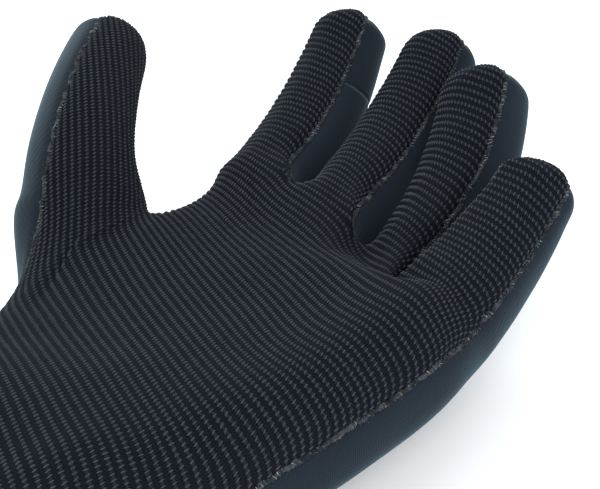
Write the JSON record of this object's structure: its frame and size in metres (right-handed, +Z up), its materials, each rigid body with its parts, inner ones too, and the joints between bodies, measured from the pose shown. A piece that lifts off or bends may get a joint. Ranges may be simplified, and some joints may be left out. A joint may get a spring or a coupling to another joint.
{
  "type": "diving glove",
  "caption": "Left-hand diving glove in thick neoprene, with a ribbed knit palm, a smooth jersey back, seamed finger sides and an open cuff.",
  "frame": {"origin": "middle of the glove's outline, at the surface it rests on", "axes": "+Z up out of the palm, +Y towards the fingertips, +X towards the little finger"},
  "size_m": [0.161, 0.266, 0.0656],
  "materials": {
    "palm_panel": "coarse ribbed knit on neoprene, matte",
    "back_panel": "fine smooth jersey on neoprene, matte with a pale sheen",
    "index_back_panel": "fine smooth jersey on neoprene, matte with a pale sheen"
  },
  "bodies": {
    "root": {"palm_panel": "palm_panel", "back_panel": "back_panel", "index_back_panel": "index_back_panel"}
  },
  "joints": []
}
